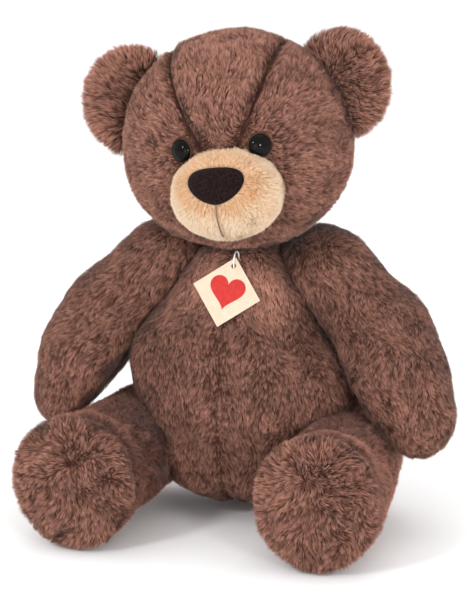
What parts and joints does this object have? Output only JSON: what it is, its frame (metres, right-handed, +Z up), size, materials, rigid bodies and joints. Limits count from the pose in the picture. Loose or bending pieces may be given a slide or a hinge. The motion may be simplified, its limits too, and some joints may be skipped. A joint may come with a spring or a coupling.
{
  "type": "jointed teddy bear",
  "caption": "Sitting plush teddy bear with a turning head and swinging arms and legs on disc joints, round ears, beige muzzle and a hang tag.",
  "frame": {"origin": "centre of the bounding box on the surface the bear sits on", "axes": "+Z up, the bear faces -Y, +X is its own left side"},
  "size_m": [0.3652, 0.2403, 0.3943],
  "materials": {
    "brown_plush": "short combed brown plush, lighter at the tips",
    "beige_plush": "short cream plush with a warm tint round the nose",
    "nose_felt": "dark brown felt",
    "mouth_thread": "dark brown thread",
    "brown_thread": "brown closing thread",
    "eye_black": "glossy black with a thin dark brown ring",
    "tag_card": "stiff laminated cream card with a plain red heart",
    "tag_thread": "thin translucent white loop",
    "filling": "white polyester wadding",
    "joint_plastic": "moulded natural plastic"
  },
  "bodies": {
    "torso": {"torso_cover": "brown_plush", "torso_stuffing": "filling", "back_closing_seam": "brown_thread", "neck_washer": "joint_plastic", "shoulder_washer_left": "joint_plastic", "shoulder_washer_right": "joint_plastic", "hip_washer_left": "joint_plastic", "hip_washer_right": "joint_plastic", "tag_loop": "tag_thread"},
    "head": {"head_cover": "brown_plush", "head_stuffing": "filling", "muzzle_cover": "beige_plush", "nose_pad": "nose_felt", "mouth_stitch": "mouth_thread", "eye_left": "eye_black", "eye_right": "eye_black", "eye_washers": "joint_plastic", "ear_left": "brown_plush", "ear_right": "brown_plush", "neck_disc": "joint_plastic", "neck_lock_ring": "joint_plastic"},
    "arm_left": {"arm_cover_left": "brown_plush", "arm_stuffing_left": "filling", "arm_disc_left": "joint_plastic", "arm_lock_ring_left": "joint_plastic"},
    "arm_right": {"arm_cover_right": "brown_plush", "arm_stuffing_right": "filling", "arm_disc_right": "joint_plastic", "arm_lock_ring_right": "joint_plastic"},
    "leg_left": {"leg_cover_left": "brown_plush", "leg_stuffing_left": "filling", "sole_left": "brown_plush", "leg_disc_left": "joint_plastic", "leg_lock_ring_left": "joint_plastic"},
    "leg_right": {"leg_cover_right": "brown_plush", "leg_stuffing_right": "filling", "sole_right": "brown_plush", "leg_disc_right": "joint_plastic", "leg_lock_ring_right": "joint_plastic"},
    "tag": {"hang_tag": "tag_card"}
  },
  "joints": [
    {"name": "neck", "type": "hinge", "parent": "torso", "child": "head", "pos_m": [0, 0.0305, 0.226], "axis": [0, 0, 1], "range_deg": [-60, 60]},
    {"name": "shoulder_left", "type": "hinge", "parent": "torso", "child": "arm_left", "pos_m": [0.05443, 0.0415, 0.18276], "axis": [-0.7986, 0, -0.6018], "range_deg": [-45, 75]},
    {"name": "shoulder_right", "type": "hinge", "parent": "torso", "child": "arm_right", "pos_m": [-0.05443, 0.0415, 0.18276], "axis": [-0.7986, 0, 0.6018], "range_deg": [-45, 75]},
    {"name": "hip_left", "type": "hinge", "parent": "torso", "child": "leg_left", "pos_m": [0.0543, 0.0395, 0.05], "axis": [1, 0, 0], "range_deg": [0, 90]},
    {"name": "hip_right", "type": "hinge", "parent": "torso", "child": "leg_right", "pos_m": [-0.0543, 0.0395, 0.05], "axis": [1, 0, 0], "range_deg": [0, 90]},
    {"name": "tag_swing", "type": "hinge", "parent": "torso", "child": "tag", "pos_m": [0.006, -0.0125, 0.211], "axis": [-1, 0, 0], "range_deg": [0, 50]}
  ]
}
